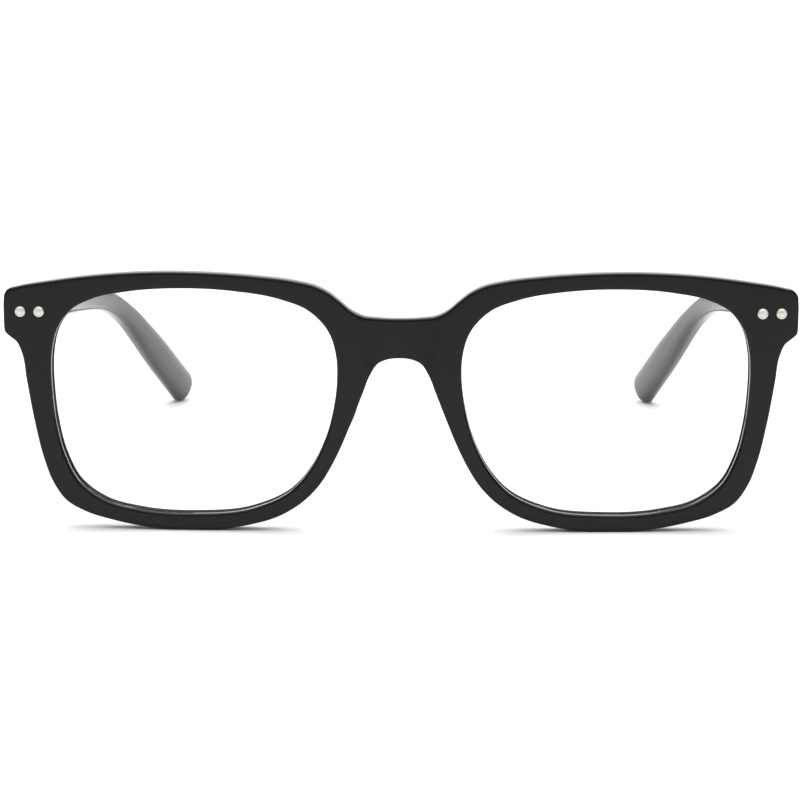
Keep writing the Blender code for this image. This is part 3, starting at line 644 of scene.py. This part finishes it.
def temple_points(drop):
    """Rings of the right temple from its front end to its tip, as an array (rings, sides, 3)."""
    shaft = np.linspace(0, 1, TEMPLE_SHAFT_RINGS)
    tip_radius = TEMPLE_WIDTHS[-1][1] / 2
    tip_length = tip_radius * math.cos(TIP_SLOPE)
    shaft_y = TEMPLE_START + (TEMPLE_END - tip_length - TEMPLE_START) * shaft
    quarter = np.linspace(0, math.pi / 2, TEMPLE_TIP_RINGS + 1)[1:]
    tip_y = TEMPLE_END - tip_length * (1 - np.sin(quarter))
    y = np.concatenate([shaft_y, tip_y])
    line = temple_line(y, drop)
    along = np.gradient(line, axis=0)
    along /= np.linalg.norm(along, axis=1)[:, None]
    level = np.column_stack([along[:, 1], -along[:, 0], np.zeros(len(y))])
    level /= np.linalg.norm(level, axis=1)[:, None]
    up = np.cross(level, along)
    tilt = smooth_step(y, TEMPLE_START, UPRIGHT_UNTIL)[:, None]
    up = up * tilt + np.array([0.0, 0.0, 1.0]) * (1 - tilt)
    up /= np.linalg.norm(up, axis=1)[:, None]
    roll = TIP_ROLL * smooth_step(y, ROLL_START, ROLL_END)[:, None]
    up, level = up * np.cos(roll) - level * np.sin(roll), level * np.cos(roll) + up * np.sin(roll)
    full = np.ones(len(shaft_y))
    closing = np.concatenate([full, np.cos(quarter)])
    thinning = np.concatenate([full, np.sqrt(np.maximum(1 - np.sin(quarter) ** TIP_FULLNESS, 0.0))])
    height = even_table(TEMPLE_WIDTHS, y) * closing
    thickness = even_table(TEMPLE_THICKNESSES, y) * thinning
    rounder = SHAFT_ROUNDER * smooth_step(y, *SHAFT_ROUNDING)
    power = (BOXY + rounder + TIP_ROUNDER * smooth_step(y, *TIP_ROUNDING))[:, None]
    angle = np.linspace(0.0, 2 * math.pi, TEMPLE_SIDES, endpoint=False)[None]
    across = np.sign(np.cos(angle)) * np.abs(np.cos(angle)) ** power * thickness[:, None] / 2
    upright = np.sign(np.sin(angle)) * np.abs(np.sin(angle)) ** power * height[:, None] / 2
    rings = line[:, None] + level[:, None] * across[..., None] + up[:, None] * upright[..., None]
    turn = np.linspace(0, math.pi / 2, END_RINGS + 1)[:-1]
    middle = rings[0].mean(0)
    size = np.array([TEMPLE_THICKNESSES[0][1], 1.0, TEMPLE_WIDTHS[0][1]]) / 2
    shrink = 1 - END_ROUNDING * (1 - np.sin(turn))[:, None] / size
    ends = middle + (rings[0] - middle)[None] * shrink[:, None, :]
    ends[..., 1] = TEMPLE_START + END_ROUNDING * (1 - np.cos(turn))[:, None]
    rings[0, :, 1] += END_ROUNDING
    centre = np.repeat(middle[None, None], TEMPLE_SIDES, axis=1) * (1, 0, 1) + (0, TEMPLE_START, 0)
    return np.concatenate([centre, ends, rings])


height_left = temple_points(TEMPLE_DROP)[..., 2].min()
temple_grid = temple_points(TEMPLE_DROP + height_left)
temple_faces = grid_faces(len(temple_grid), TEMPLE_SIDES, close_columns=True)
for side, sign in SIDES.items():
    make_piece(
        f"temple_arm_{side}", temple_grid * (sign, 1, 1), temple_faces, [BLACK], f"temple_{side}_arm",
        [f"temple_{side}"],
    )

# %% [markdown]
# ## Nose pads
# The pads of a plastic front are buttons of the same plastic, glued behind the nasal rims and polished into
# them. Each is half an egg: a polar surface whose rings shrink towards its back as the cosine of a quarter
# turn.

# %% Make the nose pads
PAD_CENTRE, PAD_RADII, PAD_LEAN = (10.0, 20.4), (1.75, 4.6, 6.4), math.radians(23.0)
PAD_RINGS, PAD_SPOKES = 24, 64
PAD_FULLNESS, PAD_FOOT = 0.8, 0.4  # the power of the cosine, and how far the foot goes into the rim


def pad_points():
    """Half an egg: width and height follow a cosine, the depth a sine; its foot goes into the rim."""
    turn = np.linspace(0, math.pi / 2, PAD_RINGS)[:, None]
    angle = np.linspace(0, 2 * math.pi, PAD_SPOKES, endpoint=False)[None]
    shrink = np.cos(turn) ** PAD_FULLNESS
    across = PAD_RADII[0] * shrink * np.cos(angle)
    upright = PAD_RADII[2] * shrink * np.sin(angle)
    x = PAD_CENTRE[0] + across * math.cos(PAD_LEAN) - upright * math.sin(PAD_LEAN)
    z = PAD_CENTRE[1] + across * math.sin(PAD_LEAN) + upright * math.cos(PAD_LEAN)
    y = FRONT_THICKNESS + wrap(PAD_CENTRE[0]) + PAD_RADII[1] * np.sin(turn) * np.ones_like(angle)
    cap = np.dstack([x, y, z])
    foot = cap[:1] - (0, PAD_FOOT, 0)
    middle = foot.mean(1, keepdims=True) * np.ones_like(foot)
    return np.concatenate([middle, foot, cap])


pad_grid = pad_points()
pad_faces = grid_faces(len(pad_grid), PAD_SPOKES, close_columns=True)
for side, sign in SIDES.items():
    make_piece(
        f"nose_pad_{side}_smooth", pad_grid * (sign, 1, 1), pad_faces, [PAD_BLACK], "front",
        [f"nose_pad_{side}"],
    )

# %% [markdown]
# ## Rivets
# A rivet holds each hinge plate through the plastic. Its head is turned: a low dome inside a slightly
# raised ring. A turned shape is a profile of radius and height, swept round an axis; here the axis is
# square to the surface that the rivet comes through.

# %% Make the rivets
RIVET_RADIUS, RIVET_HEIGHT, RIVET_SHANK = 0.97, 0.28, 0.6
FRONT_RIVET_X = {"inner": 64.1, "outer": 67.45}
TEMPLE_RIVET_Y = {"front": 10.6, "rear": 15.4}
TEMPLE_RIVET_RISE = 0.5
HINGE_PLATE_Y, RIVET_END_GAP = 6.12, 0.1
TURN_SIDES, DOME_POINTS = 56, 15
DOME_POWER, DOME_SHARE = 2.6, 0.9
RING_RADIUS, RING_WIDTH, DISH_RADIUS, DISH_WIDTH, RING_HEIGHT = 0.72, 0.09, 0.52, 0.08, 0.05
RING_END = 0.95  # outside this radius the ring adds nothing
HEAD_SINK = 0.12  # how far the head goes into the plastic


def turned_points(profile, base, axis):
    """A profile (radius, height) swept round an axis that leaves `base` in the direction `axis`."""
    profile = np.asarray(profile, float)
    axis = np.asarray(axis, float) / np.linalg.norm(axis)
    helper = np.array([0.0, 0.0, 1.0]) if abs(axis[2]) < 0.9 else np.array([1.0, 0.0, 0.0])
    first = np.cross(helper, axis)
    first /= np.linalg.norm(first)
    second = np.cross(axis, first)
    angle = np.linspace(0, 2 * math.pi, TURN_SIDES, endpoint=False)
    spoke = np.cos(angle)[:, None] * first + np.sin(angle)[:, None] * second
    return np.asarray(base) + profile[:, :1, None] * spoke[None] + profile[:, 1:, None] * axis


def rivet_profile(length):
    """From the middle of the dome over the ring (one bell curve up, one down) and down the shank."""
    radius = np.linspace(0, RIVET_RADIUS, DOME_POINTS)
    dome = RIVET_HEIGHT * np.sqrt(np.maximum(1 - (radius / RIVET_RADIUS) ** DOME_POWER, 0.0))
    raised = RING_HEIGHT * np.exp(-(((radius - RING_RADIUS) / RING_WIDTH) ** 2))
    dished = RING_HEIGHT * np.exp(-(((radius - DISH_RADIUS) / DISH_WIDTH) ** 2))
    head = np.column_stack([radius, dome * DOME_SHARE + (raised - dished) * (radius < RING_END)])
    shank = [(RIVET_RADIUS, -HEAD_SINK), (RIVET_SHANK, -HEAD_SINK), (RIVET_SHANK, -length), (0.0, -length)]
    return np.vstack([head, shank])


def make_rivet(name, base, axis, length, body):
    points = turned_points(rivet_profile(length), base, axis)
    faces = grid_faces(len(points), TURN_SIDES, close_columns=True)
    make_piece(name + "_head", points, faces, [RIVET], body, [name])


for side, sign in SIDES.items():
    for place, x in FRONT_RIVET_X.items():
        axis = (sign * x / BASE_RADIUS, -1.0, 0.0)
        base = (sign * x, wrap(x), HINGE["z"])
        length = HINGE_PLATE_Y - wrap(x) - RIVET_END_GAP
        make_rivet(f"front_rivet_{side}_{place}", base, axis, length, "front")
    outside = TEMPLE_X + TEMPLE_THICKNESSES[0][1] / 2
    for place, y in TEMPLE_RIVET_Y.items():
        base = (sign * outside, y, HINGE["z"] + TEMPLE_RIVET_RISE)
        length = TEMPLE_THICKNESSES[0][1] - RIVET_END_GAP
        make_rivet(f"temple_rivet_{side}_{place}", base, (sign, 0.0, 0.0), length, f"temple_{side}_arm")

# %% [markdown]
# ## Metal that stays as modelled
# The hinge halves, their screws and the wires inside the temples already have their true shapes in the
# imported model. They keep them, and get steel in place of the plain grey.

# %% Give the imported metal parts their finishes
for side in SIDES:
    for node, finish in (
        (f"front_hinge_{side}", HINGE_STEEL), (f"temple_hinge_{side}", HINGE_STEEL),
        (f"hinge_screw_{side}", SCREW_STEEL), (f"temple_core_{side}", CORE_STEEL),
    ):
        part = frame["nodes"][node]
        for index in range(len(part.material_slots)):
            part.material_slots[index].material = finish

# %% [markdown]
# ## The studio
# Black gloss shows its surroundings and little else, so they are kept plain: a white table of one colour,
# and soft white light from all round. It is strongest overhead, and weaker on the side of whoever looks
# than behind the glasses. A softbox above adds a little light close to the glasses. What the camera sees
# behind them is plain white.

# %% The table
FLOOR_SIZE = 2.2  # metres each way from the middle
FLOOR_WHITE, FLOOR_ROUGHNESS, FLOOR_SHINE = (0.93, 0.93, 0.93, 1), 0.6, 0.1


def make_floor():
    mesh = bpy.data.meshes.new("table")
    corners = [(x * FLOOR_SIZE, y * FLOOR_SIZE, 0.0) for x, y in ((-1, -1), (1, -1), (1, 1), (-1, 1))]
    mesh.from_pydata(corners, [], [(0, 1, 2, 3)])
    floor = bpy.data.objects.new("table", mesh)
    bpy.context.scene.collection.objects.link(floor)
    made, _, shader, _ = new_material("white_table")
    shader.inputs["Base Color"].default_value = FLOOR_WHITE
    shader.inputs["Roughness"].default_value = FLOOR_ROUGHNESS
    shader.inputs["Specular IOR Level"].default_value = FLOOR_SHINE
    mesh.materials.append(made)


make_floor()

# %% Soft light all round
# The light grows with the share of a direction that points backwards, and again with the share upwards.
LIGHT_FRONT, LIGHT_BEHIND, LIGHT_TURN = 0.4, 1.0, (-0.3, 0.5)
LIGHT_SIDES, LIGHT_TOP, LIGHT_RISE = 1.1, 1.6, (0.4, 0.8)
BACKDROP = 1.05


def make_tent():
    """Strength by direction: weaker in front, stronger behind, and strongest and even overhead."""
    world = bpy.data.worlds.new("tent")
    bpy.context.scene.world = world
    world.use_nodes = True
    world.node_tree.nodes.clear()
    nodes = Nodes(world.node_tree)
    direction = nodes.add("ShaderNodeTexCoord").outputs["Generated"]
    parts = nodes.add("ShaderNodeSeparateXYZ", ("Vector", direction)).outputs
    around = nodes.spread(parts["Y"], *LIGHT_TURN, LIGHT_FRONT, LIGHT_BEHIND)
    overhead = nodes.spread(parts["Z"], *LIGHT_RISE, 0.0, 1.0)
    level = nodes.mix_colour(overhead, around, (1, 1, 1, 1))
    strength = nodes.spread(parts["Z"], *LIGHT_RISE, LIGHT_SIDES, LIGHT_TOP)
    sky = nodes.add("ShaderNodeBackground", ("Color", level), ("Strength", strength))
    plain = nodes.add("ShaderNodeBackground", ("Color", (1, 1, 1, 1)), ("Strength", BACKDROP))
    seen = nodes.add("ShaderNodeLightPath").outputs["Is Camera Ray"]
    mix = nodes.add("ShaderNodeMixShader", (0, seen), (1, sky.outputs[0]), (2, plain.outputs[0]))
    nodes.add("ShaderNodeOutputWorld", ("Surface", mix.outputs[0]))


make_tent()

# %% The softbox overhead
SOFTBOX_SIZE, SOFTBOX_HEIGHT, SOFTBOX_POWER = 0.5, 0.4, 1.2  # metres, metres, watts
SOFTBOX_BACK = 0.12  # metres behind the middle of the glasses


def make_softbox():
    """A square of soft light that faces straight down."""
    data = bpy.data.lights.new("softbox", "AREA")
    data.shape, data.size, data.energy = "SQUARE", SOFTBOX_SIZE, SOFTBOX_POWER
    softbox = bpy.data.objects.new("softbox", data)
    softbox.location = (0.0, SOFTBOX_BACK, SOFTBOX_HEIGHT)
    bpy.context.scene.collection.objects.link(softbox)


make_softbox()
bpy.context.scene.view_settings.view_transform = "Standard"

# %% [markdown]
# ## The camera
# The glasses are seen from a little above, from arm's length, and slightly to the right of straight ahead.
# The camera aims at the middle of the front.

# %% Place the camera
AIM_X, AIM_Z = 0.14, 24.05
CAMERA_DISTANCE, CAMERA_ASIDE, CAMERA_RISE = 400.0, 9.24, math.radians(9.91)
VIEW_WIDTH = 141.7  # millimetres of the front's plane across the picture
SENSOR_WIDTH = 36.0
NEAREST, FARTHEST = 0.01, 20.0  # metres


def make_camera():
    data = bpy.data.cameras.new("camera")
    camera = bpy.data.objects.new("camera", data)
    bpy.context.scene.collection.objects.link(camera)
    height = AIM_Z + CAMERA_DISTANCE * math.tan(CAMERA_RISE)
    camera.location = to_world((CAMERA_ASIDE, -CAMERA_DISTANCE, height))
    turn = math.atan2(CAMERA_ASIDE - AIM_X, CAMERA_DISTANCE)
    camera.rotation_euler = (math.pi / 2 - CAMERA_RISE, 0.0, turn)
    data.sensor_width = SENSOR_WIDTH
    data.lens = SENSOR_WIDTH * CAMERA_DISTANCE / math.cos(CAMERA_RISE) / VIEW_WIDTH
    data.clip_start, data.clip_end = NEAREST, FARTHEST
    bpy.context.scene.camera = camera
    print("camera lens:", round(data.lens, 2), "mm, turned by", round(math.degrees(turn), 2), "degrees")


make_camera()
